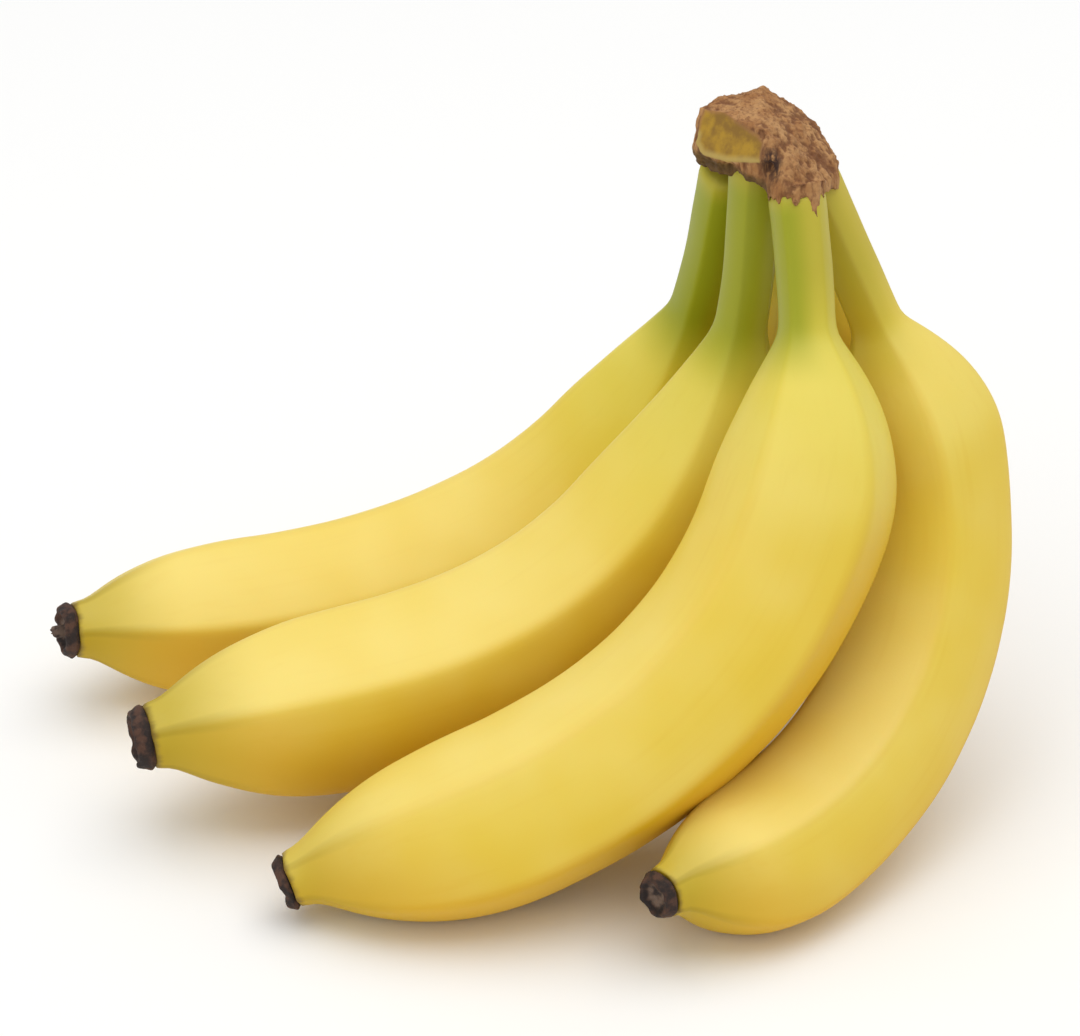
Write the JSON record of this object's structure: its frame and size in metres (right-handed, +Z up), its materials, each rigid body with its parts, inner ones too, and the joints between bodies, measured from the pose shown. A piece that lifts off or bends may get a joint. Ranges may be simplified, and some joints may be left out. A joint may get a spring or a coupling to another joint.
{
  "type": "bunch of bananas",
  "caption": "Hand of ripe curved bananas joined at one cut brown crown, standing on their bellies with the crown at the top and the dried blossom ends fanned out below.",
  "frame": {"origin": "on the surface that the bunch stands on, under the middle of its bounding box", "axes": "+Z up; +X along the bunch's length, from the fanned-out tips on the left to the crown side on the right; +Y away from the viewer, to the back"},
  "size_m": [0.2133, 0.1487, 0.155],
  "materials": {
    "peel": "ripe banana peel: warm yellow, green towards the neck and the tip, waxy half gloss with faint ridges and fine freckles",
    "crown": "dried brown papery stalk with one smooth ochre cut at the front, matte",
    "blossom_end": "shrivelled near-black flower remains, matte and rough"
  },
  "bodies": {
    "root": {"crown": "crown", "banana_left": "peel", "banana_middle": "peel", "banana_front": "peel", "banana_right": "peel", "banana_under": "peel", "blossom_end_left": "blossom_end", "blossom_end_middle": "blossom_end", "blossom_end_front": "blossom_end", "blossom_end_right": "blossom_end", "blossom_end_under": "blossom_end"}
  },
  "joints": []
}
